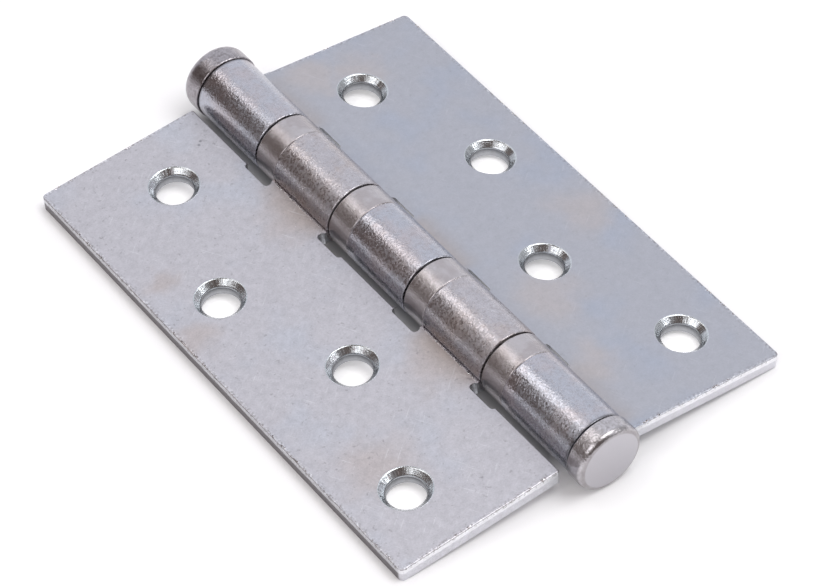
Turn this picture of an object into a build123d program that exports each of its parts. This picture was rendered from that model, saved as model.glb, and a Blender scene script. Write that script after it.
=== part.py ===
from build123d import *
from math import asin, atan2, cos, sin, sqrt
import os

os.makedirs("parts", exist_ok=True)

# Ball-bearing butt hinge lying open. The pin's axis is the Y axis and the origin is the pin's middle.
# The three-knuckle leaf lies towards +X and the two-knuckle leaf towards -X, screw faces up.
# Sizes are in millimetres.

# Leaves
leaf_length = 102.0
leaf_reach = 38.5          # from the pin's axis to a leaf's outer edge
leaf_thickness = 2.7
axis_offset = 0.5          # a leaf's screw face lies this far below the pin's axis
corner_radius = 0.9
notch_corner_radius = 0.4
edge_rounding = 0.25       # shearing rolls the edges of the screw face over this much

# Barrel
pin_diameter = 6.5
pin_clearance = 0.05       # radial, in the knuckles and in the bearings
knuckle_length = 15.3      # of the three inner knuckles
bearing_space = 5.6        # between two knuckles
seam_gap = 0.12            # between a rolled knuckle's lip and its own leaf
lip_radius = 0.4
swage_radius = 2.5         # where a leaf's underside sweeps down into the barrel
knuckle_end_rounding = 0.2

# Notches in each leaf, for the other leaf's knuckles and for the bearings
notch_clearance = 1.3
relief_depth = 0.8
relief_margin = 0.4        # a relief runs this far past each end of its bearing
relief_radius = 0.7

# Screw holes
screw_hole_radius = 3.3
countersink_radius = 4.5
countersink_angle = 90.0
screw_pitch = 25.6         # along the leaf
inner_row = 19.8           # from the pin's axis
outer_row = 28.1

# Button ends
head_radius = 6.25
head_length = 4.7
head_gap = 0.05            # from the far knuckle to the pin's head
head_rounding = 1.9
tip_length = 3.6
tip_gap = 0.3              # from the near knuckle to the tip
tip_rounding = 1.1
rim_rounding = 0.2         # of both buttons, next to the knuckles
tip_shank_length = 5.0
tip_shank_gap = 0.2        # between the tip's shank and the end of the pin
shank_chamfer = 0.4

# Bearings
shell_wall = 0.5
shell_floor = 0.5
shell_lip_gap = 0.35       # from the open end of a shell to the knuckle above it
shell_undersize = 0.05     # a shell's radius is this much less than the barrel's
shell_edge_rounding = 0.2
race_thickness = 1.75
race_clearance = 0.06      # radial, between a race and its shell
ball_diameter = 1.9
ball_count = 13
ball_clearance = 0.04      # between a ball and the bottom of its groove
groove_radius = 1.05

# Worked out from the sizes above
pin_radius = pin_diameter / 2
bore_radius = pin_radius + pin_clearance
barrel_radius = bore_radius + leaf_thickness
barrel_end = leaf_length / 2
underside = axis_offset + leaf_thickness
notch_edge = barrel_radius + notch_clearance
root_reach = notch_edge + 2 * corner_radius
end_knuckle_length = (leaf_length - 3 * knuckle_length - 4 * bearing_space) / 2
# The open leaves droop until their outer edges lie as low as the button heads.
droop = asin(head_radius / sqrt(underside**2 + leaf_reach**2)) - atan2(underside, leaf_reach)

# Knuckles, and the bearing spaces under them, as (top, bottom) along Y from the far end at +Y
knuckle_spans = []
bearing_spans = []
span_top = barrel_end
for length in (end_knuckle_length, knuckle_length, knuckle_length, knuckle_length, end_knuckle_length):
    knuckle_spans.append((span_top, span_top - length))
    bearing_spans.append((span_top - length, span_top - length - bearing_space))
    span_top -= length + bearing_space
bearing_spans.pop()

# A rolled knuckle in section. X runs out along the leaf and Y is the leaf's normal.
# The plate dips under the pin, rolls up its other side and comes back down on its own screw face.
swage_x = sqrt((barrel_radius + swage_radius)**2 - (underside + swage_radius)**2)
swage_centre = Vector(swage_x, -underside - swage_radius)
swage_start = Vector(swage_x, -underside)
swage_end = swage_centre * (barrel_radius / (barrel_radius + swage_radius))
swage_chord_middle = (swage_start + swage_end) / 2
swage_middle = swage_centre + (swage_chord_middle - swage_centre).normalized() * swage_radius
lip_height = seam_gap - axis_offset
lip_outside = Vector(sqrt(barrel_radius**2 - lip_height**2), lip_height)
lip_inside = Vector(sqrt(bore_radius**2 - lip_height**2), lip_height)
root_inside = Vector(sqrt(bore_radius**2 - axis_offset**2), -axis_offset)

# Each leaf: its name, the side it lies on and the knuckles it carries, counted from the far end
leaves = (("three_knuckle_leaf", 1, (0, 2, 4)), ("two_knuckle_leaf", -1, (1, 3)))
for leaf_name, side, own_knuckles in leaves:
    outward = Vector(side * cos(droop), 0, -sin(droop))
    normal = Vector(side * sin(droop), 0, cos(droop))
    screw_face = Plane(origin=normal * -axis_offset, x_dir=outward, z_dir=normal)
    with BuildPart(screw_face) as leaf:
        # Sheared plate, with the edges of its screw face rolled over
        with BuildSketch(screw_face) as outline:
            with Locations(((notch_edge + leaf_reach) / 2, 0)):
                Rectangle(leaf_reach - notch_edge, leaf_length)
            fillet(outline.vertices().group_by(Axis.X)[-1], corner_radius)
            fillet(outline.vertices().group_by(Axis.X)[0], notch_corner_radius)
        extrude(amount=-leaf_thickness)
        fillet(leaf.faces().sort_by(Axis(screw_face.origin, normal))[-1].edges(), edge_rounding)

        for knuckle in own_knuckles:
            far_end, near_end = knuckle_spans[knuckle]
            start = far_end if side > 0 else near_end
            with BuildSketch(Plane(origin=(0, start, 0), x_dir=outward, z_dir=(0, -side, 0))) as section:
                with BuildLine():
                    Line((root_reach, -axis_offset), (root_reach, -underside))
                    Line((root_reach, -underside), swage_start)
                    ThreePointArc(swage_start, swage_middle, swage_end)
                    ThreePointArc(swage_end, (-barrel_radius, 0), lip_outside)
                    Line(lip_outside, lip_inside)
                    ThreePointArc(lip_inside, (-bore_radius, 0), root_inside)
                    Line(root_inside, (root_reach, -axis_offset))
                make_face()
                fillet(section.vertices().sort_by_distance(lip_outside)[0], lip_radius)
            extrude(amount=far_end - near_end)
        knuckle_rims = leaf.edges().filter_by(GeomType.CIRCLE).filter_by(
            lambda edge: abs(edge.radius - barrel_radius) < pin_clearance
        )
        fillet(knuckle_rims, knuckle_end_rounding)

        # Reliefs that let the leaf swing round the bearings
        with BuildSketch(screw_face):
            with Locations([(notch_edge, side * sum(span) / 2) for span in bearing_spans]):
                RectangleRounded(2 * relief_depth, bearing_space + 2 * relief_margin, relief_radius)
        extrude(amount=-leaf_thickness, mode=Mode.SUBTRACT)

        # Countersunk screw holes in two staggered rows
        with Locations(
            (inner_row, side * 1.5 * screw_pitch),
            (outer_row, side * 0.5 * screw_pitch),
            (inner_row, side * -0.5 * screw_pitch),
            (outer_row, side * -1.5 * screw_pitch),
        ):
            CounterSinkHole(screw_hole_radius, countersink_radius, counter_sink_angle=countersink_angle)
    leaf.part.label = leaf_name
    export_step(leaf.part, f"parts/{leaf_name}.step")

# Pin, with its button head standing over the far knuckle
button_base = barrel_end + head_gap
button_top = button_base + head_length
pin_end = -barrel_end + tip_shank_length + tip_shank_gap
with BuildPart() as hinge_pin:
    with BuildSketch() as pin_section:
        with BuildLine():
            Polyline(
                (0, pin_end),
                (pin_radius, pin_end),
                (pin_radius, button_base),
                (head_radius, button_base),
                (head_radius, button_top),
                (0, button_top),
                close=True,
            )
        make_face()
        fillet(pin_section.vertices().sort_by_distance((head_radius, button_top))[0], head_rounding)
        fillet(pin_section.vertices().sort_by_distance((head_radius, button_base))[0], rim_rounding)
        chamfer(pin_section.vertices().sort_by_distance((pin_radius, pin_end))[0], shank_chamfer)
    revolve(axis=Axis.Y)
hinge_pin.part.label = "hinge_pin"
export_step(hinge_pin.part, "parts/hinge_pin.step")

# Tip: a flatter button at the near end, its shank driven into the last knuckle
tip_base = -barrel_end - tip_gap
tip_face = tip_base - tip_length
with BuildPart() as pin_tip:
    with BuildSketch() as tip_section:
        with BuildLine():
            Polyline(
                (0, tip_face),
                (head_radius, tip_face),
                (head_radius, tip_base),
                (pin_radius, tip_base),
                (pin_radius, -barrel_end + tip_shank_length),
                (0, -barrel_end + tip_shank_length),
                close=True,
            )
        make_face()
        fillet(tip_section.vertices().sort_by_distance((head_radius, tip_face))[0], tip_rounding)
        fillet(tip_section.vertices().sort_by_distance((head_radius, tip_base))[0], rim_rounding)
        tip_end = (pin_radius, -barrel_end + tip_shank_length)
        chamfer(tip_section.vertices().sort_by_distance(tip_end)[0], shank_chamfer)
    revolve(axis=Axis.Y)
pin_tip.part.label = "pin_tip"
export_step(pin_tip.part, "parts/pin_tip.step")

# Bearings. Each shell is a cup that stands on the knuckle below it and holds the lower race.
# The upper race stands out of the cup and carries the knuckle above.
shell_radius = barrel_radius - shell_undersize
shell_bore = shell_radius - shell_wall
race_radius = shell_bore - race_clearance
ball_radius = ball_diameter / 2
ball_circle = (bore_radius + race_radius) / 2
groove_shift = groove_radius - ball_radius - ball_clearance
for number, (space_top, space_bottom) in enumerate(bearing_spans, start=1):
    lower_race_bottom = space_bottom + shell_floor
    lower_race_top = lower_race_bottom + race_thickness
    upper_race_bottom = space_top - race_thickness
    ball_level = (lower_race_top + upper_race_bottom) / 2

    with BuildPart() as bearing_shell:
        with BuildSketch() as shell_section:
            with Locations((0, space_bottom)):
                Rectangle(shell_radius, bearing_space - shell_lip_gap, align=Align.MIN)
                Rectangle(bore_radius, shell_floor, align=Align.MIN, mode=Mode.SUBTRACT)
            with Locations((0, lower_race_bottom)):
                Rectangle(shell_bore, bearing_space, align=Align.MIN, mode=Mode.SUBTRACT)
            fillet(shell_section.vertices().group_by(Axis.X)[-1], shell_edge_rounding)
        revolve(axis=Axis.Y)
    bearing_shell.part.label = f"bearing_shell_{number}"
    export_step(bearing_shell.part, f"parts/bearing_shell_{number}.step")

    for race_name, race_bottom, groove_level in (
        (f"lower_race_{number}", lower_race_bottom, ball_level + groove_shift),
        (f"upper_race_{number}", upper_race_bottom, ball_level - groove_shift),
    ):
        with BuildPart() as race:
            with BuildSketch():
                with Locations((bore_radius, race_bottom)):
                    Rectangle(race_radius - bore_radius, race_thickness, align=Align.MIN)
                with Locations((ball_circle, groove_level)):
                    Circle(groove_radius, mode=Mode.SUBTRACT)
            revolve(axis=Axis.Y)
        race.part.label = race_name
        export_step(race.part, f"parts/{race_name}.step")

    with BuildPart(Plane(origin=(0, ball_level, 0), z_dir=(0, 1, 0))) as bearing_balls:
        with PolarLocations(ball_circle, ball_count):
            Sphere(ball_radius)
    bearing_balls.part.label = f"bearing_balls_{number}"
    export_step(bearing_balls.part, f"parts/bearing_balls_{number}.step")
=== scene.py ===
import math
import random
from functools import partial

import bmesh
import bpy
from mathutils import Matrix, Quaternion, Vector


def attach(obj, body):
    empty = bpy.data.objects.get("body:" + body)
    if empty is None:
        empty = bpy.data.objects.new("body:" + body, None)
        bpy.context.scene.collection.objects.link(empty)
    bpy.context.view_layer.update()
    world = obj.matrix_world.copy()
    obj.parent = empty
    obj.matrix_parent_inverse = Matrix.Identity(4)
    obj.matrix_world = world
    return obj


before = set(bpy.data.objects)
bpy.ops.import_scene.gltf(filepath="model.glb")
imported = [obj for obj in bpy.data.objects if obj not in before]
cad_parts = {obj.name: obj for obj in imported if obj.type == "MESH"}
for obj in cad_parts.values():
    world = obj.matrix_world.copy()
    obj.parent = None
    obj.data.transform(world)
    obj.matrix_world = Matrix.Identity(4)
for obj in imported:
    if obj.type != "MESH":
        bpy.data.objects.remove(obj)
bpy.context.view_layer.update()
print("frame loaded:", len(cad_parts), "CAD nodes")

mm = 0.001

# The hinge's own sizes, as the CAD has them, in millimetres
hinge = {
    "droop": math.radians(4.5589),   # each open leaf hangs this much below level
    "axisOffset": 0.5,               # screw face below the pin's axis
    "reach": 38.5,                   # from the pin's axis to a leaf's outer edge
    "halfLength": 51.0,
    "headRadius": 6.25,
    "holeRadius": 3.3,
    "sinkRadius": 4.5,
    "holes": ((19.8, 38.4), (28.1, 12.8), (19.8, -12.8), (28.1, -38.4)),  # out and along
    "knucklePitch": 41.8,            # from one knuckle of a leaf to its next
    "reliefs": (-31.35, -10.45, 10.45, 31.35),  # the notches' reliefs for the bearings, along
}
leafSides = {"three_knuckle_leaf": 1, "two_knuckle_leaf": -1}
leafBodies = {
    "three_knuckle_leaf": "three_knuckle_side",
    "two_knuckle_leaf": "two_knuckle_side",
}


def outward(side):
    return Vector((side * math.cos(hinge["droop"]), 0, -math.sin(hinge["droop"])))


def leafNormal(side):
    return Vector((side * math.sin(hinge["droop"]), 0, math.cos(hinge["droop"])))


def onLeaf(side, out, along, height=0.0):  # a point over a leaf's screw face, in metres
    place = outward(side) * out + leafNormal(side) * (height - hinge["axisOffset"])
    return (place + Vector((0, along, 0))) * mm


def linear(hexColour):
    parts = [int(hexColour[i:i + 2], 16) / 255 for i in (1, 3, 5)]
    return [c / 12.92 if c <= 0.04045 else ((c + 0.055) / 1.055) ** 2.4 for c in parts] + [1.0]


def perMm(size):  # texture scale that gives features of this many millimetres
    return 1 / (size * mm)


def addNode(tree, kind, settings=None, links=None, output=None):
    node = tree.nodes.new("ShaderNode" + kind)
    for name, value in (settings or {}).items():
        if isinstance(name, str) and name in node.bl_rna.properties:
            setattr(node, name, value)
        else:
            node.inputs[name].default_value = value
    for name, source in (links or {}).items():
        tree.links.new(source, node.inputs[name])
    if output:
        return node.outputs[output]
    return next((socket for socket in node.outputs if socket.enabled), None)


def newMaterial(name):
    material = bpy.data.materials.new(name)
    material.use_nodes = True
    material.node_tree.nodes.clear()
    return material, partial(addNode, material.node_tree)


# Settings that most materials use again
soft = {"interpolation_type": "SMOOTHSTEP"}   # for a Map Range with eased ends
tint = {"data_type": "RGBA"}                  # for a Mix of the colours 6 and 7

# Bright zinc electroplate on cold-rolled sheet: a satin blue-white skin that clouds where the
# passivation film dried unevenly. Rolled knuckles stretch it to an orange peel that glitters, and
# the sheared edges show a burnished band over a torn one. Stains are out, along and reach, and
# nicks are out and along, in millimetres.
plateLooks = {
    "three_knuckle_leaf": {
        "name": "zinc_plate_blue", "base": "#b2b3bb", "film": "#adb2bf", "stain": "#bbb5b6",
        "knuckle": "#b6b8c2", "knuckleWarm": "#bbb6bc", "knuckleRoughness": 0.25,
        "mottle": 0.06, "grain": 0.04, "roughness": 0.36, "scratched": 0.15, "worn": 0.5,
        "stains": ((15, -20, 9), (33, -6, 8), (12, -36, 7), (22, 42, 8), (14, 46, 7)),
        "stained": 0.8, "nicks": (), "seed": 3.1, "ownKnuckles": 1,
    },
    "two_knuckle_leaf": {
        "name": "zinc_plate_warm", "base": "#c3c1c7", "film": "#c0c2cb", "stain": "#bcb1ae",
        "knuckle": "#bbb8be", "knuckleWarm": "#bcb4b5", "knuckleRoughness": 0.30,
        "mottle": 0.11, "grain": 0.07, "roughness": 0.40, "scratched": 0.42, "worn": 0.6,
        "stains": ((29, -33, 10), (36, 8, 6), (34, 22, 5), (9, -21, 8), (9, 20, 7)),
        "stained": 0.55, "nicks": ((10.5, 44), (11.2, 43.4)), "seed": 11.7, "ownKnuckles": -1,
    },
}

# What both leaves share: tones, and the patterns' sizes in millimetres
plateTones = {
    "burnt": "#b3a59c", "barrelPit": "#8f8583", "paintedGapShade": "#454244",
    "scratch": "#dcdce0", "pock": "#827e82", "speck": "#ececf0", "nick": "#7c7c82",
    "burnished": "#cfd0d4", "torn": "#858184",
    "paintedLitEndBurnished": "#f4f4f8", "paintedLitEndTorn": "#dcdce2",   # the cut-off ends are painted brighter, as painted light
    "paintedLitNotchEdge": "#d8dade", "paintedHoleShade": "#66686d", "paintedHoleLight": "#c6c8cc",
    "bareSteel": "#6f6764", "raisedRim": "#f6f6f8",
}
plateSizes = {
    "cloud": 11, "stainEdge": 6, "stainWander": 10, "warmPatch": 7, "mottle": 1.3,
    "grain": 0.28,       # the sheet's own grain is near 0.1 mm, too fine to show
    "scratch": 0.30,     # gives lines about 0.1 mm wide, twice the real ones, so that they show
    "pock": 0.8, "speck": 1.7, "barrelPit": 0.6, "tearing": 0.9,
    "torn": 0.35,        # the break's facets, drawn coarser than they are
    "rimWear": 0.45,     # twice the real specks
    "glitter": 0.45, "peel": 0.42,   # the peel's cells are near 0.2 mm and would blur to grey
    "raggedBy": 0.5, "peelDepth": 0.055, "tornDepth": 0.12,
}
# Where each zone of a leaf starts and where it is full, in millimetres
plateFades = {name: {"From Min": first * mm, "From Max": last * mm} for name, first, last in (
    ("barrel", 6.6, 6.15),        # from the pin's axis
    ("root", 12.0, 6.5),
    ("holesFrom", 14.0, 15.0),
    ("holesTo", 34.0, 33.0),
    ("outerRim", 37.6, 38.2),     # out along the leaf
    ("endRim", 50.1, 50.7),       # along the pin, to both sides
    ("cutEnd", 50.0, 50.5),
    ("paintedGapShade", 50.4, 50.8),
    ("rimDepth", 0.7, 0.4),       # below the screw face
    ("torn", 1.15, 1.35),
    ("paintedHoleLight", 1.1, 2.6),
    ("nick", 0.35, 0.15),         # from the nick's middle
)}


def plateZones(add, look, side):  # the leaf's coordinates, and where on the leaf a point lies
    place = add("TexCoord", output="Object")
    radial = add("VectorMath", {"operation": "MULTIPLY", 1: (1, 0, 1)}, {0: place})
    fromAxis = add("VectorMath", {"operation": "LENGTH"}, {0: radial})
    onBarrel = add("MapRange", {**soft, **plateFades["barrel"]}, {"Value": fromAxis})
    offBarrel = add("Math", {"operation": "SUBTRACT", 0: 1.0}, {1: onBarrel})
    nearBarrel = add("MapRange", {**soft, **plateFades["root"]}, {"Value": fromAxis})
    turned = add("TexCoord", output="Normal")
    facing = add("VectorMath", {"operation": "DOT_PRODUCT", 1: leafNormal(side)}, {0: turned})
    facing = add("Math", {"operation": "ABSOLUTE"}, {0: facing})
    edgeOn = add("MapRange", {**soft, "From Min": 0.55, "From Max": 0.25}, {"Value": facing})
    height = add("VectorMath", {"operation": "DOT_PRODUCT", 1: leafNormal(side)}, {0: place})
    along = add("SeparateXYZ", {}, {"Vector": place}, "Y")
    turn = 2 * math.pi / (hinge["knucklePitch"] * mm)
    return {
        "place": place,
        "coords": add(
            "Mapping", {"Location": (look["seed"], look["seed"] / 3, 0)}, {"Vector": place}),
        "fromAxis": fromAxis,
        "onBarrel": onBarrel,
        "offBarrel": offBarrel,
        "nearBarrel": nearBarrel,
        "onEdge": add("Math", {"operation": "MULTIPLY"}, {0: edgeOn, 1: offBarrel}),
        "depth": add(
            "Math", {"operation": "SUBTRACT", 0: -hinge["axisOffset"] * mm}, {1: height}),
        "lengthwise": add("Math", {"operation": "ABSOLUTE"}, {0: along}),
        "phase": add("Math", {"operation": "MULTIPLY", 1: turn}, {0: along}),
    }


def flatColour(add, look, side, zone):
    # The film dries in clouds of a centimetre or two
    film = add(
        "TexNoise", {"Scale": perMm(plateSizes["cloud"]), "Detail": 2.0},
        {"Vector": zone["coords"]})
    share = add(
        "MapRange", {**soft, "From Min": 0.48, "From Max": 0.72, "To Max": 0.8}, {"Value": film})
    colour = add("Mix", {**tint, 6: linear(look["base"]), 7: linear(look["film"])}, {0: share})

    # Stains where rinse water stood: soft, uneven patches at a few places
    shift = Vector((1, 1, 1)) * plateSizes["stainWander"] * mm
    wander = add(
        "TexNoise", {"Scale": perMm(plateSizes["stainEdge"]), "Detail": 3.0},
        {"Vector": zone["coords"]}, "Color")
    wandering = add(
        "VectorMath", {"operation": "MULTIPLY_ADD", 1: shift}, {0: wander, 2: zone["place"]})
    stained = None
    for out, along, reach in look["stains"]:
        middle = onLeaf(side, out, along) + shift / 2
        far = add("VectorMath", {"operation": "DISTANCE", 1: middle}, {0: wandering})
        spot = add(
            "MapRange", {**soft, "From Min": reach * mm, "From Max": 0.2 * reach * mm},
            {"Value": far})
        if stained is not None:
            spot = add("Math", {"operation": "MAXIMUM"}, {0: stained, 1: spot})
        stained = spot
    stained = add("Math", {"operation": "MULTIPLY", 1: look["stained"]}, {0: stained})
    colour = add("Mix", {**tint, 7: linear(look["stain"])}, {0: stained, 6: colour})

    # Rolling burnt the plate a little at the roots of the leaf's own knuckles
    wave = add("Math", {"operation": "COSINE"}, {0: zone["phase"]})
    wave = add("Math", {"operation": "MULTIPLY", 1: look["ownKnuckles"]}, {0: wave})
    atRoot = add("MapRange", {**soft, "From Min": 0.3, "From Max": 0.7}, {"Value": wave})
    burnt = add("Math", {"operation": "MULTIPLY"}, {0: atRoot, 1: zone["nearBarrel"]})
    burnt = add("Math", {"operation": "MULTIPLY"}, {0: burnt, 1: film})
    return add("Mix", {**tint, 7: linear(plateTones["burnt"])}, {0: burnt, 6: colour})


def barrelColour(add, look, zone):
    # Two close tones, with brown pits where the plate is thin
    warm = add(
        "TexNoise", {"Scale": perMm(plateSizes["warmPatch"]), "Detail": 3.0, "Roughness": 0.6},
        {"Vector": zone["coords"]})
    warm = add("MapRange", {**soft, "From Min": 0.4, "From Max": 0.65}, {"Value": warm})
    colour = add(
        "Mix", {**tint, 6: linear(look["knuckle"]), 7: linear(look["knuckleWarm"])}, {0: warm})
    pits = add(
        "TexNoise", {"Scale": perMm(plateSizes["barrelPit"]), "Detail": 4.0, "Roughness": 0.7},
        {"Vector": zone["coords"]})
    pits = add("MapRange", {"From Min": 0.50, "From Max": 0.62, "To Max": 0.28}, {"Value": pits})
    colour = add("Mix", {**tint, 7: linear(plateTones["barrelPit"])}, {0: pits, 6: colour})

    # Painted shade: the barrel is painted dark at the gaps next to the two buttons
    gapShaded = add(
        "MapRange", {**plateFades["paintedGapShade"], "To Max": 0.6}, {"Value": zone["lengthwise"]})
    return add("Mix", {**tint, 7: linear(plateTones["paintedGapShade"])}, {0: gapShaded, 6: colour})


def handledColour(add, look, side, zone, colour):
    # Handling scratches: hair lines in two directions, broken up
    scratched = None
    for turn, seed in ((0.5, 1.7), (-0.9, 4.2)):
        lines = add(
            "Mapping",
            {"vector_type": "TEXTURE", "Rotation": (0, 0, turn), "Location": (seed, 0, 0),
             "Scale": (1, 33, 1)},
            {"Vector": zone["place"]})
        hair = add(
            "TexNoise", {"Scale": perMm(plateSizes["scratch"]), "Detail": 1.0},
            {"Vector": lines})
        hair = add("MapRange", {"From Min": 0.70, "From Max": 0.78}, {"Value": hair})
        if scratched is not None:
            hair = add("Math", {"operation": "MAXIMUM"}, {0: scratched, 1: hair})
        scratched = hair
    scratched = add("Math", {"operation": "MULTIPLY", 1: look["scratched"]}, {0: scratched})
    colour = add("Mix", {**tint, 7: linear(plateTones["scratch"])}, {0: scratched, 6: colour})

    # Pits and bright specks where the plate fell in or stood up, and a few nicks
    pocks = add(
        "TexNoise", {"Scale": perMm(plateSizes["pock"]), "Detail": 3.0, "Roughness": 0.6},
        {"Vector": zone["coords"]})
    pocks = add(
        "MapRange", {"From Min": 0.62, "From Max": 0.72, "To Max": look["scratched"]},
        {"Value": pocks})
    colour = add("Mix", {**tint, 7: linear(plateTones["pock"])}, {0: pocks, 6: colour})
    cells = add(
        "TexVoronoi", {"Scale": perMm(plateSizes["speck"])}, {"Vector": zone["coords"]},
        "Distance")
    chosen = add("SeparateColor", {}, {"Color": cells.node.outputs["Color"]}, "Red")
    chosen = add(
        "MapRange", {"From Min": 0.78, "From Max": 0.80, "To Max": look["scratched"]},
        {"Value": chosen})
    speck = add("MapRange", {"From Min": 0.07, "From Max": 0.04}, {"Value": cells})
    speck = add("Math", {"operation": "MULTIPLY"}, {0: speck, 1: chosen})
    colour = add("Mix", {**tint, 7: linear(plateTones["speck"])}, {0: speck, 6: colour})
    for out, along in look["nicks"]:
        nick = add(
            "VectorMath", {"operation": "DISTANCE", 1: onLeaf(side, out, along)},
            {0: zone["place"]})
        nick = add("MapRange", {**plateFades["nick"], "To Max": 0.7}, {"Value": nick})
        colour = add("Mix", {**tint, 7: linear(plateTones["nick"])}, {0: nick, 6: colour})
    return colour


def shearedColour(add, zone, torn, ragged):
    # Sheared edges: burnished above and torn below
    colour = add(
        "Mix", {**tint, 6: linear(plateTones["burnished"]), 7: linear(plateTones["torn"])},
        {0: torn})
    # The cut-off ends keep the burnished and torn bands, painted brighter as painted light
    paintedLitEndColour = add(
        "Mix", {**tint, 6: linear(plateTones["paintedLitEndBurnished"]), 7: linear(plateTones["paintedLitEndTorn"])},
        {0: torn})
    atEnd = add("MapRange", plateFades["cutEnd"], {"Value": zone["lengthwise"]})
    colour = add("Mix", tint, {0: atEnd, 6: colour, 7: paintedLitEndColour})
    # Painted light: the edges near the barrel are painted pale against the shade of the gap
    colour = add(
        "Mix", {**tint, 7: linear(plateTones["paintedLitNotchEdge"])}, {0: zone["nearBarrel"], 6: colour})

    # Painted shade and light on the hole walls: dark under the countersinks, paling lower down
    holeLightShare = add("MapRange", {**soft, **plateFades["paintedHoleLight"]}, {"Value": ragged})
    holeWall = add(
        "Mix", {**tint, 6: linear(plateTones["paintedHoleShade"]), 7: linear(plateTones["paintedHoleLight"])},
        {0: holeLightShare})
    holesFrom = add("MapRange", plateFades["holesFrom"], {"Value": zone["fromAxis"]})
    holesTo = add("MapRange", plateFades["holesTo"], {"Value": zone["fromAxis"]})
    offEnd = add("Math", {"operation": "SUBTRACT", 0: 1.0}, {1: atEnd})
    punched = add("Math", {"operation": "MULTIPLY"}, {0: holesFrom, 1: holesTo})
    punched = add("Math", {"operation": "MULTIPLY"}, {0: punched, 1: offEnd})
    return add("Mix", tint, {0: punched, 6: colour, 7: holeWall})


def rimColour(add, look, side, zone, colour):
    # The rims are rubbed through to brown steel and stand up in bright specks
    out = add("VectorMath", {"operation": "DOT_PRODUCT", 1: outward(side)}, {0: zone["place"]})
    atRim = add("MapRange", plateFades["outerRim"], {"Value": out})
    atEndRim = add("MapRange", plateFades["endRim"], {"Value": zone["lengthwise"]})
    shallow = add(
        "MapRange", {**plateFades["rimDepth"], "To Max": look["worn"]}, {"Value": zone["depth"]})
    atRim = add("Math", {"operation": "MAXIMUM"}, {0: atRim, 1: atEndRim})
    atRim = add("Math", {"operation": "MULTIPLY"}, {0: atRim, 1: shallow})
    atRim = add("Math", {"operation": "MULTIPLY"}, {0: atRim, 1: zone["offBarrel"]})
    wear = add(
        "TexNoise", {"Scale": perMm(plateSizes["rimWear"]), "Detail": 3.0, "Roughness": 0.7},
        {"Vector": zone["coords"]})
    for tone, first, last in (("bareSteel", 0.46, 0.40), ("raisedRim", 0.57, 0.62)):
        share = add("MapRange", {"From Min": first, "From Max": last}, {"Value": wear})
        share = add("Math", {"operation": "MULTIPLY"}, {0: share, 1: atRim})
        colour = add("Mix", {**tint, 7: linear(plateTones[tone])}, {0: share, 6: colour})
    return colour


def plateShade(add, look, zone, mottle):
    # Mottle and grain, the speckle of the sheet under the plate; by the barrel the flat is painted
    # darker, as shade
    low, high = 1 - look["mottle"], 1 + look["mottle"] / 2
    shade = add(
        "MapRange", {"From Min": 0.3, "From Max": 0.7, "To Min": low, "To Max": high},
        {"Value": mottle})
    grain = add(
        "TexNoise", {"Scale": perMm(plateSizes["grain"]), "Detail": 3.0, "Roughness": 0.6},
        {"Vector": zone["coords"]})
    grain = add(
        "MapRange",
        {"From Min": 0.3, "From Max": 0.7, "To Min": -look["grain"], "To Max": look["grain"]},
        {"Value": grain})
    shade = add("Math", {"operation": "ADD"}, {0: shade, 1: grain})
    paintedBarrelShade = add(
        "Math", {"operation": "MULTIPLY_ADD", 1: -0.06, 2: 1.0}, {0: zone["nearBarrel"]})
    paintedBarrelShade = add("Mix", {3: 1.0}, {0: zone["onBarrel"], 2: paintedBarrelShade})
    return add("Math", {"operation": "MULTIPLY"}, {0: shade, 1: paintedBarrelShade})


def plateRoughness(add, look, zone, mottle):
    # It follows the mottle on the flat; the barrel is shinier and glitters
    flat = add(
        "Math", {"operation": "MULTIPLY_ADD", 1: 0.1, 2: look["roughness"] - 0.05}, {0: mottle})
    glitter = add(
        "TexNoise", {"Scale": perMm(plateSizes["glitter"]), "Detail": 2.0, "Roughness": 0.6},
        {"Vector": zone["coords"]})
    smooth, rough = look["knuckleRoughness"] - 0.09, look["knuckleRoughness"] + 0.07
    barrel = add(
        "MapRange", {"From Min": 0.40, "From Max": 0.60, "To Min": smooth, "To Max": rough},
        {"Value": glitter})
    # Each knuckle is smoother towards its far end
    begun = add("Math", {"operation": "SINE"}, {0: zone["phase"]})
    barrel = add(
        "Math", {"operation": "MULTIPLY_ADD", 1: -0.05 * look["ownKnuckles"]},
        {0: begun, 2: barrel})
    return add("Mix", {}, {0: zone["onBarrel"], 2: flat, 3: barrel})


def plateBump(add, zone, torn):  # orange peel, high on the barrel, and the facets of the torn edge
    peel = add(
        "TexNoise", {"Scale": perMm(plateSizes["peel"]), "Detail": 2.0, "Roughness": 0.6},
        {"Vector": zone["coords"]})
    height = add("Math", {"operation": "MULTIPLY_ADD", 1: 0.90, 2: 0.10}, {0: zone["onBarrel"]})
    peel = add("Math", {"operation": "MULTIPLY"}, {0: peel, 1: height})
    bump = add("Bump", {"Distance": plateSizes["peelDepth"] * mm}, {"Height": peel})
    facets = add(
        "TexNoise", {"Scale": perMm(plateSizes["torn"]), "Detail": 4.0, "Roughness": 0.7},
        {"Vector": zone["coords"]})
    tornEdge = add("Math", {"operation": "MULTIPLY"}, {0: torn, 1: zone["onEdge"]})
    facets = add("Math", {"operation": "MULTIPLY"}, {0: facets, 1: tornEdge})
    return add(
        "Bump", {"Distance": plateSizes["tornDepth"] * mm}, {"Height": facets, "Normal": bump})


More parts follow.
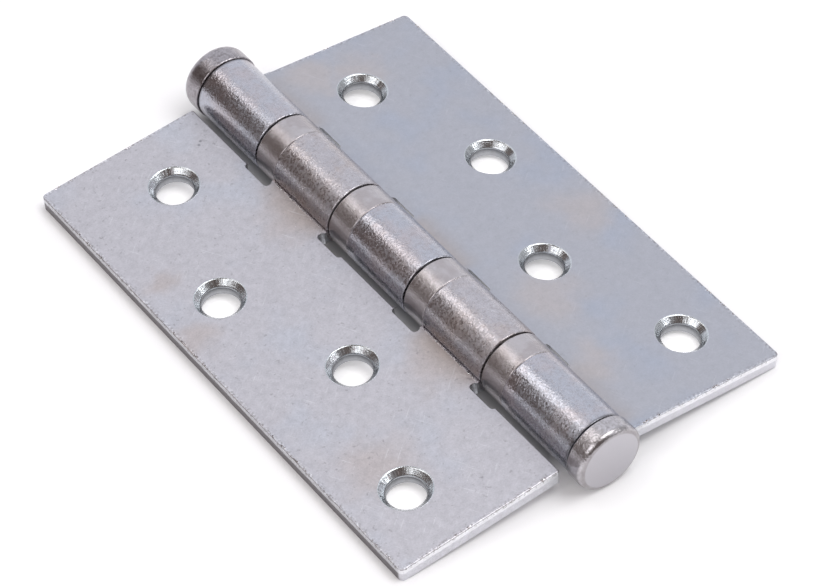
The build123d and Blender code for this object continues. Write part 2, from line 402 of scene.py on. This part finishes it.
def plateMaterial(leafName):
    look = plateLooks[leafName]
    side = leafSides[leafName]
    material, add = newMaterial(look["name"])
    zone = plateZones(add, look, side)
    mottle = add(
        "TexNoise", {"Scale": perMm(plateSizes["mottle"]), "Detail": 5.0, "Roughness": 0.65},
        {"Vector": zone["coords"]})
    tearing = add(   # makes the border between the burnished band and the torn one ragged
        "TexNoise", {"Scale": perMm(plateSizes["tearing"]), "Detail": 4.0, "Roughness": 0.7},
        {"Vector": zone["coords"]})
    ragged = add(
        "Math", {"operation": "MULTIPLY_ADD", 1: plateSizes["raggedBy"] * mm},
        {0: tearing, 2: zone["depth"]})
    torn = add("MapRange", {**soft, **plateFades["torn"]}, {"Value": ragged})

    flat = flatColour(add, look, side, zone)
    rolled = barrelColour(add, look, zone)
    colour = add("Mix", tint, {0: zone["onBarrel"], 6: flat, 7: rolled})
    colour = handledColour(add, look, side, zone, colour)
    sheared = shearedColour(add, zone, torn, ragged)
    colour = add("Mix", tint, {0: zone["onEdge"], 6: colour, 7: sheared})
    colour = rimColour(add, look, side, zone, colour)
    shade = plateShade(add, look, zone, mottle)
    colour = add("VectorMath", {"operation": "SCALE"}, {0: colour, "Scale": shade})
    shader = add(
        "BsdfPrincipled", {"Metallic": 1.0},
        {"Base Color": colour, "Roughness": plateRoughness(add, look, zone, mottle),
         "Normal": plateBump(add, zone, torn)})
    add("OutputMaterial", {}, {"Surface": shader})
    return material


# Turned steel buttons, barrel plated: greyer than the sheet and finely pitted, with a smooth end
# face. The pin's head came out of the bath browner than the tip.
buttonLooks = {
    "hinge_pin": {
        "name": "plated_pin_head", "base": "#aaa6ab", "stain": "#777072", "face": "#a9a3a6",
        "roughness": 0.17, "stained": 0.55, "paintedRingShade": 0.2,
    },
    "pin_tip": {
        "name": "plated_pin_tip", "base": "#c2bfc3", "stain": "#7f7a7b", "face": "#b6b4b9",
        "roughness": 0.19, "stained": 0.34, "paintedRingShade": 0.5,
    },
}
buttonSizes = {"blotch": 0.9, "pit": 0.35}   # in millimetres; the real pits are finer


def buttonMaterial(node):
    look = buttonLooks[node]
    material, add = newMaterial(look["name"])
    coords = add("TexCoord", output="Object")
    turned = add("TexCoord", output="Normal")
    endways = add("VectorMath", {"operation": "DOT_PRODUCT", 1: (0, 1, 0)}, {0: turned})
    endways = add("Math", {"operation": "ABSOLUTE"}, {0: endways})
    onFace = add("MapRange", {**soft, "From Min": 0.965, "From Max": 0.997}, {"Value": endways})
    blotch = add(
        "TexNoise", {"Scale": perMm(buttonSizes["blotch"]), "Detail": 5.0, "Roughness": 0.72},
        {"Vector": coords})
    pits = add(
        "TexNoise", {"Scale": perMm(buttonSizes["pit"]), "Detail": 3.0, "Roughness": 0.6},
        {"Vector": coords})
    stained = add(
        "MapRange", {**soft, "From Min": 0.42, "From Max": 0.66, "To Max": look["stained"]},
        {"Value": blotch})
    colour = add("Mix", {**tint, 6: linear(look["base"]), 7: linear(look["stain"])}, {0: stained})
    pitted = add("MapRange", {"From Min": 0.45, "From Max": 0.7, "To Max": 0.5}, {"Value": pits})
    colour = add("Mix", {**tint, 7: linear(look["stain"])}, {0: pitted, 6: colour})
    share = add("MapRange", {"From Min": 0.3, "From Max": 0.7, "To Max": 0.3}, {"Value": blotch})
    face = add("Mix", {**tint, 6: linear(look["face"]), 7: linear(look["base"])}, {0: share})
    colour = add("Mix", tint, {0: onFace, 6: colour, 7: face})

    # Painted shade: a darker ring on the rounding round the face
    paintedRingShade = add(
        "MapRange", {"From Min": 0.60, "From Max": 0.85, "To Max": look["paintedRingShade"]},
        {"Value": endways})
    ring = add("MapRange", {"From Min": 0.995, "From Max": 0.975}, {"Value": endways})
    paintedRingShade = add("Math", {"operation": "MULTIPLY"}, {0: paintedRingShade, 1: ring})
    colour = add("Mix", {**tint, 7: linear(look["stain"])}, {0: paintedRingShade, 6: colour})
    roughness = add(
        "Math", {"operation": "MULTIPLY_ADD", 1: 0.14, 2: look["roughness"] - 0.04}, {0: blotch})
    offFace = add("Math", {"operation": "MULTIPLY_ADD", 1: -0.85, 2: 1.0}, {0: onFace})
    height = add("Math", {"operation": "MULTIPLY"}, {0: pits, 1: offFace})
    bump = add("Bump", {"Distance": 0.06 * mm}, {"Height": height})
    shader = add(
        "BsdfPrincipled", {"Metallic": 1.0},
        {"Base Color": colour, "Roughness": roughness, "Normal": bump})
    add("OutputMaterial", {}, {"Surface": shader})
    return material


# Drawn bearing cups, barrel plated: a fine matt grain that only glows where the sheet glitters
cupLook = {
    "base": "#bdb9bc", "stain": "#b0aaac", "roughness": 0.25, "blotch": 3.5, "pit": 0.45,
    "drawLine": 0.3,   # the die's lines, drawn some three times as wide as they are
}


def cupMaterial():
    material, add = newMaterial("zinc_plated_cup")
    coords = add("TexCoord", output="Object")
    blotch = add(
        "TexNoise", {"Scale": perMm(cupLook["blotch"]), "Detail": 3.0, "Roughness": 0.6},
        {"Vector": coords})
    pits = add(
        "TexNoise", {"Scale": perMm(cupLook["pit"]), "Detail": 4.0, "Roughness": 0.7},
        {"Vector": coords})
    stained = add("MapRange", {**soft, "From Min": 0.42, "From Max": 0.62}, {"Value": blotch})
    colour = add(
        "Mix", {**tint, 6: linear(cupLook["base"]), 7: linear(cupLook["stain"])}, {0: stained})
    pitted = add("MapRange", {"From Min": 0.3, "From Max": 0.7, "To Max": 0.35}, {"Value": pits})
    colour = add("Mix", {**tint, 7: linear(cupLook["stain"])}, {0: pitted, 6: colour})
    # The drawing die leaves faint lines along the cup's wall
    drawn = add("Mapping", {"Scale": (1, 0.08, 1)}, {"Vector": coords})
    drawn = add(
        "TexNoise", {"Scale": perMm(cupLook["drawLine"]), "Detail": 2.0}, {"Vector": drawn})
    bump = add("Bump", {"Distance": 0.05 * mm}, {"Height": pits})
    bump = add("Bump", {"Distance": 0.012 * mm}, {"Height": drawn, "Normal": bump})
    shader = add(
        "BsdfPrincipled", {"Metallic": 1.0, "Roughness": cupLook["roughness"]},
        {"Base Color": colour, "Normal": bump})
    add("OutputMaterial", {}, {"Surface": shader})
    return material


# Ground and hardened bearing steel, painted dark for the shade in the gaps where it shows, with
# faint turning lines round the pin
raceLook = {
    "base": "#5c5a57", "line": "#454341", "roughness": 0.24,
    "turning": 1.6,   # gives lines half a millimetre apart, far coarser than ground, so they show
}


def raceMaterial():
    material, add = newMaterial("ground_bearing_steel")
    coords = add("TexCoord", output="Object")
    rings = add(
        "TexWave",
        {"wave_type": "RINGS", "rings_direction": "Y", "Scale": perMm(raceLook["turning"]),
         "Distortion": 0.6},
        {"Vector": coords}, "Fac")
    share = add("MapRange", {"From Min": 0.2, "From Max": 0.8, "To Max": 0.25}, {"Value": rings})
    colour = add(
        "Mix", {**tint, 6: linear(raceLook["base"]), 7: linear(raceLook["line"])}, {0: share})
    bump = add("Bump", {"Distance": 0.004 * mm}, {"Height": rings})
    shader = add(
        "BsdfPrincipled", {"Metallic": 1.0, "Roughness": raceLook["roughness"]},
        {"Base Color": colour, "Normal": bump})
    add("OutputMaterial", {}, {"Surface": shader})
    return material


# Polished chrome-steel balls under a film of grease, which dulls them in patches
ballLook = {"base": "#c4c2be", "grease": "#a39c8c", "roughness": 0.12, "patch": 0.9}


def ballMaterial():
    material, add = newMaterial("polished_ball_steel")
    coords = add("TexCoord", output="Object")
    film = add(
        "TexNoise", {"Scale": perMm(ballLook["patch"]), "Detail": 3.0, "Roughness": 0.6},
        {"Vector": coords})
    share = add("MapRange", {"From Min": 0.4, "From Max": 0.7, "To Max": 0.5}, {"Value": film})
    colour = add(
        "Mix", {**tint, 6: linear(ballLook["base"]), 7: linear(ballLook["grease"])}, {0: share})
    roughness = add(
        "Math", {"operation": "MULTIPLY_ADD", 1: 0.3, 2: ballLook["roughness"] - 0.08}, {0: film})
    bump = add("Bump", {"Distance": 0.002 * mm}, {"Height": film})
    shader = add(
        "BsdfPrincipled", {"Metallic": 1.0},
        {"Base Color": colour, "Roughness": roughness, "Normal": bump})
    add("OutputMaterial", {}, {"Surface": shader})
    return material


# Freshly cut and plated countersinks: a mirror that the bit's chatter breaks into flashes
sinkFinish = {
    "base": "#d9dde1", "shadow": "#a9adb2", "roughness": 0.15,
    "streaks": (200, 1.2),   # round the cone and down it, some 0.13 mm wide
    "rings": (6, 14),        # faint lathe rings across them, about 0.1 mm apart
}


def sinkMaterial():
    material, add = newMaterial("cut_countersink")
    around = add("UVMap", {"uv_map": "turned"})
    streaks = add("Mapping", {"Scale": (*sinkFinish["streaks"], 1)}, {"Vector": around})
    streaks = add(
        "TexNoise", {"Scale": 1.0, "Detail": 3.0, "Roughness": 0.65}, {"Vector": streaks})
    rings = add("Mapping", {"Scale": (*sinkFinish["rings"], 1)}, {"Vector": around})
    rings = add("TexNoise", {"Scale": 1.0, "Detail": 2.0}, {"Vector": rings})
    share = add("MapRange", {"From Min": 0.35, "From Max": 0.65}, {"Value": streaks})
    colour = add(
        "Mix", {**tint, 6: linear(sinkFinish["base"]), 7: linear(sinkFinish["shadow"])},
        {0: share})
    bump = add("Bump", {"Distance": 0.022 * mm}, {"Height": streaks})
    bump = add("Bump", {"Distance": 0.02 * mm}, {"Height": rings, "Normal": bump})
    shader = add(
        "BsdfPrincipled", {"Metallic": 1.0, "Roughness": sinkFinish["roughness"]},
        {"Base Color": colour, "Normal": bump})
    add("OutputMaterial", {}, {"Surface": shader})
    return material


# Torn zinc-flecked steel: the bright ragged burr that shearing and rolling leave on an edge
burrFinish = {"base": "#e4e2e4", "dark": "#6e6664", "roughness": 0.24, "fleck": 0.25}


def burrMaterial():
    material, add = newMaterial("torn_burr")
    coords = add("TexCoord", output="Object")
    flecks = add(
        "TexNoise", {"Scale": perMm(burrFinish["fleck"]), "Detail": 3.0, "Roughness": 0.7},
        {"Vector": coords})
    share = add("MapRange", {"From Min": 0.42, "From Max": 0.54}, {"Value": flecks})
    colour = add(
        "Mix", {**tint, 6: linear(burrFinish["base"]), 7: linear(burrFinish["dark"])},
        {0: share})
    bump = add("Bump", {"Distance": 0.03 * mm}, {"Height": flecks})
    shader = add(
        "BsdfPrincipled", {"Metallic": 1.0, "Roughness": burrFinish["roughness"]},
        {"Base Color": colour, "Normal": bump})
    add("OutputMaterial", {}, {"Surface": shader})
    return material


def dress(node, material):
    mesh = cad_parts[node].data
    mesh.materials.clear()
    mesh.materials.append(material)


for leafName in leafSides:
    dress(leafName, plateMaterial(leafName))
for nodeName in buttonLooks:
    dress(nodeName, buttonMaterial(nodeName))
cup = cupMaterial()
race = raceMaterial()
ball = ballMaterial()
for number in range(1, 5):
    dress(f"bearing_shell_{number}", cup)
    dress(f"lower_race_{number}", race)
    dress(f"upper_race_{number}", race)
    dress(f"bearing_balls_{number}", ball)
print("materials made")


def selectWhere(test):  # in edit mode, selects the vertices whose place passes the test
    shape = bmesh.from_edit_mesh(bpy.context.object.data)
    for vertex in shape.verts:
        vertex.select = test(vertex.co)
    shape.select_flush_mode()
    bmesh.update_edit_mesh(bpy.context.object.data)


def layOnLeaf(piece, side, out, along, height=0.0, turn=0.0, stretch=(1, 1, 1)):
    # The piece was modelled at the origin with X out along the leaf, Y along the pin and Z up
    axes = Matrix((outward(side), side * Vector((0, 1, 0)), leafNormal(side)))
    spin = Matrix.Rotation(turn, 4, "Z") @ Matrix.Diagonal((*stretch, 1))
    shift = Matrix.Translation(onLeaf(side, out, along, height))
    piece.data.transform(shift @ axes.transposed().to_4x4() @ spin)


def fixToLeaf(piece, leafName):
    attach(piece, leafBodies[leafName])


def copyOf(piece, name):
    twin = piece.copy()
    twin.data = piece.data.copy()
    twin.name = name
    bpy.context.scene.collection.objects.link(twin)
    return twin


# The countersinks' faces: a thin cone on the CAD's one, ribbed where the bit shook. Sizes are in
# millimetres, a rib's half width is in degrees, and ribs start and end by rings from the top.
sinkFacing = {
    "columns": 180, "rings": 5, "lift": 0.022, "wall": 0.05, "seed": 5,
    "ribs": 60, "ribHeight": 0.016, "ribHalf": (1.1, 2.6),
    "ribStarts": (0.5, 0.5, 1.5), "ribEnds": (3.5, 4.5),
    "turnEach": 2.3,   # radians from one hole to the next, so that no two look alike
}


def makeSinkFacing():
    chance = random.Random(sinkFacing["seed"])
    top = hinge["sinkRadius"] * mm
    step = (hinge["sinkRadius"] - hinge["holeRadius"]) * mm / sinkFacing["rings"]
    bpy.ops.object.select_all(action="DESELECT")
    bpy.ops.mesh.primitive_circle_add(
        vertices=sinkFacing["columns"], radius=top, fill_type="NOTHING")
    cone = bpy.context.object
    bpy.ops.object.mode_set(mode="EDIT")
    bpy.ops.mesh.select_mode(type="VERT")
    bpy.ops.mesh.select_all(action="SELECT")
    for ring in range(sinkFacing["rings"]):
        shrink = (top - step * (ring + 1)) / (top - step * ring)
        bpy.ops.mesh.extrude_region_move(TRANSFORM_OT_translate={"value": (0, 0, -step)})
        bpy.ops.transform.resize(value=(shrink, shrink, 1))
    bpy.ops.mesh.select_all(action="SELECT")
    bpy.ops.mesh.normals_make_consistent(inside=False)
    bpy.ops.object.mode_set(mode="OBJECT")
    if cone.data.polygons[0].normal.z < 0:
        cone.data.flip_normals()
    turned = cone.data.uv_layers.new(name="turned")
    for loop in cone.data.loops:
        co = cone.data.vertices[loop.vertex_index].co
        around = math.atan2(co.y, co.x) / (2 * math.pi) + 0.5
        turned.data[loop.index].uv = (around, -co.z / (sinkFacing["rings"] * step))
    bpy.ops.object.mode_set(mode="EDIT")
    for rib in range(sinkFacing["ribs"]):  # the bit shook in bursts: no two ribs are alike
        middle = chance.uniform(-math.pi, math.pi)
        half = math.radians(chance.uniform(*sinkFacing["ribHalf"]))
        first = chance.choice(sinkFacing["ribStarts"]) * step
        last = chance.choice(sinkFacing["ribEnds"]) * step
        selectWhere(
            lambda co: abs(math.remainder(math.atan2(co.y, co.x) - middle, 2 * math.pi)) < half
            and first < -co.z < last)
        rise = chance.uniform(-1, 1) * sinkFacing["ribHeight"] * mm
        bpy.ops.transform.translate(value=(0, 0, rise))
    bpy.ops.object.mode_set(mode="OBJECT")
    wall = cone.modifiers.new("wall", "SOLIDIFY")
    wall.thickness = sinkFacing["wall"] * mm
    wall.offset = -1
    bpy.ops.object.modifier_apply(modifier=wall.name)
    bpy.ops.object.shade_smooth()
    return cone


def addSinkFacings():
    model = makeSinkFacing()
    model.data.materials.append(sinkMaterial())
    count = 0
    for leafName, side in leafSides.items():
        for number, (out, along) in enumerate(hinge["holes"], start=1):
            facing = copyOf(model, f"{leafName}_sink_{number}")
            turn = sinkFacing["turnEach"] * number + side
            layOnLeaf(facing, side, out, along, sinkFacing["lift"], turn)
            fixToLeaf(facing, leafName)
            count += 1
    bpy.data.objects.remove(model)
    return count


# Burr beads: a ragged sliver, 1 mm thick, modelled once and laid along the seams, the rims and the
# reliefs. The lines give where: out, height over the screw face, and the bead's stretch in width,
# length and height. Sizes are in millimetres.
burrBead = {
    "length": 14.0, "cuts": 84, "sides": 6, "seed": 9,
    "least": 0.05, "first": 0.4, "growth": (-0.45, 0.43),   # of the swelling, as shares of 1 mm
    "wobble": 0.22, "smoothUnder": math.radians(50),
    "seam": (6.32, 0.0, (0.40, 1.05, 0.16)),
    "seams": {"three_knuckle_leaf": (-42.8, 0.0, 42.8), "two_knuckle_leaf": (-20.9, 20.9)},
    "rim": (0.27, -0.08, (0.36, 1.0, 0.30)),                # inwards from the rim
    "endsAt": (15.6, 30.1),                                 # out along the leaf's two ends
    "relief": (7.35, -0.10, (0.20, 0.10, 0.35)), "reliefEnd": 3.15,
}


def makeBurrBead():
    chance = random.Random(burrBead["seed"])
    half = burrBead["length"] / 2 * mm
    bpy.ops.object.select_all(action="DESELECT")
    bpy.ops.mesh.primitive_cylinder_add(
        vertices=burrBead["sides"], radius=0.5 * mm, depth=2 * half, rotation=(math.pi / 2, 0, 0))
    bead = bpy.context.object
    bpy.ops.object.transform_apply(location=True, rotation=True, scale=True)
    bpy.ops.object.mode_set(mode="EDIT")
    bpy.ops.mesh.select_mode(type="EDGE")
    bpy.ops.mesh.select_all(action="DESELECT")
    shape = bmesh.from_edit_mesh(bead.data)
    for edge in shape.edges:
        edge.select = abs(edge.verts[0].co.y - edge.verts[1].co.y) > half
    bmesh.update_edit_mesh(bead.data)
    bpy.ops.mesh.subdivide(number_cuts=burrBead["cuts"])
    bpy.ops.mesh.select_mode(type="VERT")
    spacing = 2 * half / (burrBead["cuts"] + 1)
    swell = burrBead["first"]
    for cut in range(burrBead["cuts"] + 2):  # the bead swells and dies away at random
        level = -half + cut * spacing
        swell = min(1.0, max(burrBead["least"], swell + chance.uniform(*burrBead["growth"])))
        if cut in (0, burrBead["cuts"] + 1):
            swell = burrBead["least"]
        selectWhere(lambda co: abs(co.y - level) < spacing / 3)
        bpy.ops.transform.resize(value=(swell, 1, swell), center_override=(0, level, 0))
        aside = chance.uniform(-burrBead["wobble"], burrBead["wobble"]) * mm
        bpy.ops.transform.translate(value=(aside, 0, 0))
    bpy.ops.mesh.select_all(action="SELECT")
    bpy.ops.mesh.normals_make_consistent(inside=False)
    bpy.ops.object.mode_set(mode="OBJECT")
    bpy.ops.object.shade_smooth_by_angle(angle=burrBead["smoothUnder"])
    return bead


def burrPlaces(leafName):  # by line: out, along, height, turn and stretch of each bead
    seamOut, seamHeight, seam = burrBead["seam"]
    inset, sunk, rim = burrBead["rim"]
    reliefOut, reliefHeight, relief = burrBead["relief"]
    outer = hinge["reach"] - inset
    end = hinge["halfLength"] - inset
    across = math.pi / 2
    return {
        "seam": [
            (seamOut, along, seamHeight, 0.0, seam) for along in burrBead["seams"][leafName]],
        "outer": [(outer, along, sunk, 0.0, rim) for along in range(-42, 43, 14)],
        "end": [
            (out, along, sunk, across, rim) for out in burrBead["endsAt"] for along in (-end, end)],
        "relief": [
            (reliefOut, middle + burrBead["reliefEnd"], reliefHeight, across, relief)
            for middle in hinge["reliefs"]],
    }


def addBurrs():
    model = makeBurrBead()
    model.data.materials.append(burrMaterial())
    count = 0
    for leafName, side in leafSides.items():
        for line, places in burrPlaces(leafName).items():
            bpy.ops.object.select_all(action="DESELECT")
            for number, (out, along, height, turn, stretch) in enumerate(places):
                bead = copyOf(model, f"{leafName}_{line}_burr")
                turn += math.pi * (number % 2)   # every second bead lies the other way round
                layOnLeaf(bead, side, out, along, height, turn, stretch)
                bead.select_set(True)
                bpy.context.view_layer.objects.active = bead
            bpy.ops.object.join()
            bpy.context.object.name = f"{leafName}_{line}_burr"
            fixToLeaf(bpy.context.object, leafName)
            count += 1
    bpy.data.objects.remove(model)
    return count


print("countersink faces:", addSinkFacings())
print("burr lines:", addBurrs())

# Matt white paper with painted light and shade: the glows are emission strengths that light the
# paper itself in patches, and the paper under the barrel is painted dark
floorLook = {
    "paper": "#f2f2f4", "paintedShadeUnderBarrel": "#484b54", "fibre": 1.5,
    "glow": (0.10, 0.80),   # more of it to the right
    "frontGlow": 0.30,      # and before the near end, painted light that lifts the shadow there
    "holeGlow": 0.24,       # painted light, seen by the camera only, under the leaves where only the holes show the paper
    "rootGlow": 0.50,       # under the leaves' roots: it throws light up on the barrel's flanks
    "leastLight": 0.05,     # the share of all this that reaches in under the barrel
    "rightIsOpener": 1.8,   # the light reaches that much further in on the right
    "barrelMiddle": 4,      # of the barrel's shade along the pin, in millimetres
}
# Where each zone of the paper starts and where it is full, in millimetres from the middle
floorFades = {name: {"From Min": first * mm, "From Max": last * mm} for name, first, last in (
    ("glow", 30, 400),            # to the right
    ("pastBarrel", 10, 13),       # to both sides
    ("withinLeaves", 38, 34),
    ("withinEnds", 50, 45),       # along the pin
    ("pastShade", 46, 52),
    ("front", -54, -80),
    ("rootsFrom", 7.5, 9),        # from under the pin's axis to the left; less on the right
    ("rootsTo", 16, 13),
    ("openAir", 2.5, 7.0),
)}


def addFloor():
    bpy.ops.object.select_all(action="DESELECT")
    bpy.ops.mesh.primitive_plane_add(size=6, location=(0, 0, -hinge["headRadius"] * mm))
    floor = bpy.context.object
    floor.name = "studio_floor"
    material, add = newMaterial("matt_white_paper")
    coords = add("TexCoord", output="Object")
    right = add("SeparateXYZ", {}, {"Vector": coords}, "X")
    left = add("Math", {"operation": "MULTIPLY", 1: -1.0}, {0: right})
    gap = add("Math", {"operation": "MULTIPLY", 1: floorLook["rightIsOpener"]}, {0: right})
    along = add("SeparateXYZ", {}, {"Vector": coords}, "Y")
    aside = add("Math", {"operation": "ABSOLUTE"}, {0: right})
    lengthwise = add("Math", {"operation": "ABSOLUTE"}, {0: along})
    gap = add("Math", {"operation": "MAXIMUM"}, {0: gap, 1: left})
    low, high = floorLook["glow"]
    glow = add(
        "MapRange", {**soft, **floorFades["glow"], "To Min": low, "To Max": high},
        {"Value": right})

    # Painted light for the camera: seen through the holes, the paper under the leaves is as white
    # as round the hinge
    seen = add("LightPath", output="Is Camera Ray")
    holes = add("Math", {"operation": "MULTIPLY", 1: floorLook["holeGlow"]}, {0: seen})
    for name, distance in (
            ("pastBarrel", aside), ("withinLeaves", aside), ("withinEnds", lengthwise)):
        within = add("MapRange", {**soft, **floorFades[name]}, {"Value": distance})
        holes = add("Math", {"operation": "MULTIPLY"}, {0: holes, 1: within})
    glow = add("Math", {"operation": "ADD"}, {0: glow, 1: holes})
    roots = add(
        "MapRange", {**floorFades["rootsFrom"], "To Max": floorLook["rootGlow"]}, {"Value": gap})
    for name, distance in (("rootsTo", gap), ("withinEnds", lengthwise)):
        within = add("MapRange", floorFades[name], {"Value": distance})
        roots = add("Math", {"operation": "MULTIPLY"}, {0: roots, 1: within})
    glow = add("Math", {"operation": "ADD"}, {0: glow, 1: roots})

    # Painted shade: little of all that reaches in under the barrel, and the paper there is painted
    # dark
    openAir = add(
        "MapRange", {**floorFades["openAir"], "To Min": floorLook["leastLight"]}, {"Value": gap})
    fromMiddle = add(
        "Math", {"operation": "SUBTRACT", 1: floorLook["barrelMiddle"] * mm}, {0: along})
    fromMiddle = add("Math", {"operation": "ABSOLUTE"}, {0: fromMiddle})
    pastShade = add("MapRange", floorFades["pastShade"], {"Value": fromMiddle})
    openAir = add("Math", {"operation": "MAXIMUM"}, {0: openAir, 1: pastShade})
    glow = add("Math", {"operation": "MULTIPLY"}, {0: glow, 1: openAir})
    # Painted light before the near end lifts the shadow there
    inFront = add(
        "MapRange", {**floorFades["front"], "To Max": floorLook["frontGlow"]}, {"Value": along})
    glow = add("Math", {"operation": "ADD"}, {0: glow, 1: inFront})
    paper = add(
        "Mix", {**tint, 6: linear(floorLook["paintedShadeUnderBarrel"]), 7: linear(floorLook["paper"])},
        {0: openAir})
    fibres = add(
        "TexNoise", {"Scale": perMm(floorLook["fibre"]), "Detail": 3.0, "Roughness": 0.6},
        {"Vector": coords})
    bump = add("Bump", {"Distance": 0.01 * mm}, {"Height": fibres})
    shader = add(
        "BsdfPrincipled",
        {"Roughness": 0.8, "Specular IOR Level": 0.2, "Emission Color": (1, 1, 1, 1)},
        {"Base Color": paper, "Normal": bump, "Emission Strength": glow})
    add("OutputMaterial", {}, {"Surface": shader})
    floor.data.materials.append(material)


# The room that the metal reflects: dim, with a pale wall on the right and a greyer one in front.
# A wall is the way to it, where it starts and is full, its colour and its radiance.
roomLook = {
    "room": "#766b67",
    "walls": (
        ((0.68, 0.73, 0.05), (0.28, 0.52), "#f7f9ff", 1.05),
        ((0.85, -0.45, 0.25), (0.45, 0.95), "#c4c4c6", 1.0),
    ),
}


def addWorld():
    world = bpy.data.worlds.new("studio_room")
    bpy.context.scene.world = world
    world.use_nodes = True
    world.node_tree.nodes.clear()
    add = partial(addNode, world.node_tree)
    around = add("TexCoord", output="Generated")
    colour = None
    for direction, (first, last), shown, radiance in roomLook["walls"]:
        towards = add("VectorMath", {"operation": "DOT_PRODUCT", 1: direction}, {0: around})
        share = add("MapRange", {**soft, "From Min": first, "From Max": last}, {"Value": towards})
        lit = [part * radiance for part in linear(shown)]
        behind = {0: share} if colour is None else {0: share, 6: colour}
        colour = add("Mix", {**tint, 6: linear(roomLook["room"]), 7: lit}, behind)
    shader = add("Background", {"Strength": 1.0}, {"Color": colour})
    add("OutputWorld", {}, {"Surface": shader})


# Each soft box: name, direction, distance, width along the floor and height in metres, radiance
# and colour
softboxes = (
    ("backBox", (-0.258, 0.412, 0.874), 1.33, 0.52, 0.66, 2.0, "#fffdfb"),
    ("leftBox", (-0.72, -0.10, 0.66), 1.00, 0.96, 0.36, 2.4, "#ffffff"),
    ("overheadBox", (0.25, -0.25, 0.93), 1.10, 0.70, 0.70, 4.0, "#ffffff"),
    ("frontBox", (0.58, -0.64, 0.47), 1.00, 0.15, 0.15, 7.0, "#ffffff"),
)


def addSoftbox(name, direction, distance, width, height, radiance, colour):
    light = bpy.data.lights.new(name, "AREA")
    light.shape = "RECTANGLE"
    light.size = width
    light.size_y = height
    light.energy = radiance * math.pi * width * height
    light.color = linear(colour)[:3]
    holder = bpy.data.objects.new(name, light)
    bpy.context.scene.collection.objects.link(holder)
    towards = Vector(direction).normalized()
    holder.location = towards * distance
    holder.rotation_mode = "QUATERNION"
    holder.rotation_quaternion = towards.to_track_quat("Z", "Y")


addFloor()
addWorld()
for box in softboxes:
    addSoftbox(*box)
bpy.context.scene.view_settings.view_transform = "Standard"
print("studio set")

# The camera stands at the near left and looks down on the barrel; angles are in degrees
cameraLook = {
    "target": (-0.0036447, -0.0072987, 0.0), "azimuth": -36.822, "elevation": 46.454,
    "roll": 0.245, "distance": 0.6233, "lens": 166.56,
}


def addCamera():
    data = bpy.data.cameras.new("studio_camera")
    data.lens = cameraLook["lens"]
    data.sensor_width = 36
    data.sensor_fit = "HORIZONTAL"
    data.clip_start = 0.01
    data.clip_end = 20
    camera = bpy.data.objects.new("studio_camera", data)
    bpy.context.scene.collection.objects.link(camera)
    turn = math.radians(cameraLook["azimuth"])
    rise = math.radians(cameraLook["elevation"])
    back = Vector(
        (math.sin(turn) * math.cos(rise), -math.cos(turn) * math.cos(rise), math.sin(rise)))
    camera.location = Vector(cameraLook["target"]) + back * cameraLook["distance"]
    camera.rotation_mode = "QUATERNION"
    roll = Quaternion((0, 0, 1), math.radians(cameraLook["roll"]))
    camera.rotation_quaternion = (-back).to_track_quat("-Z", "Y") @ roll
    bpy.context.scene.camera = camera


addCamera()
print("camera set")
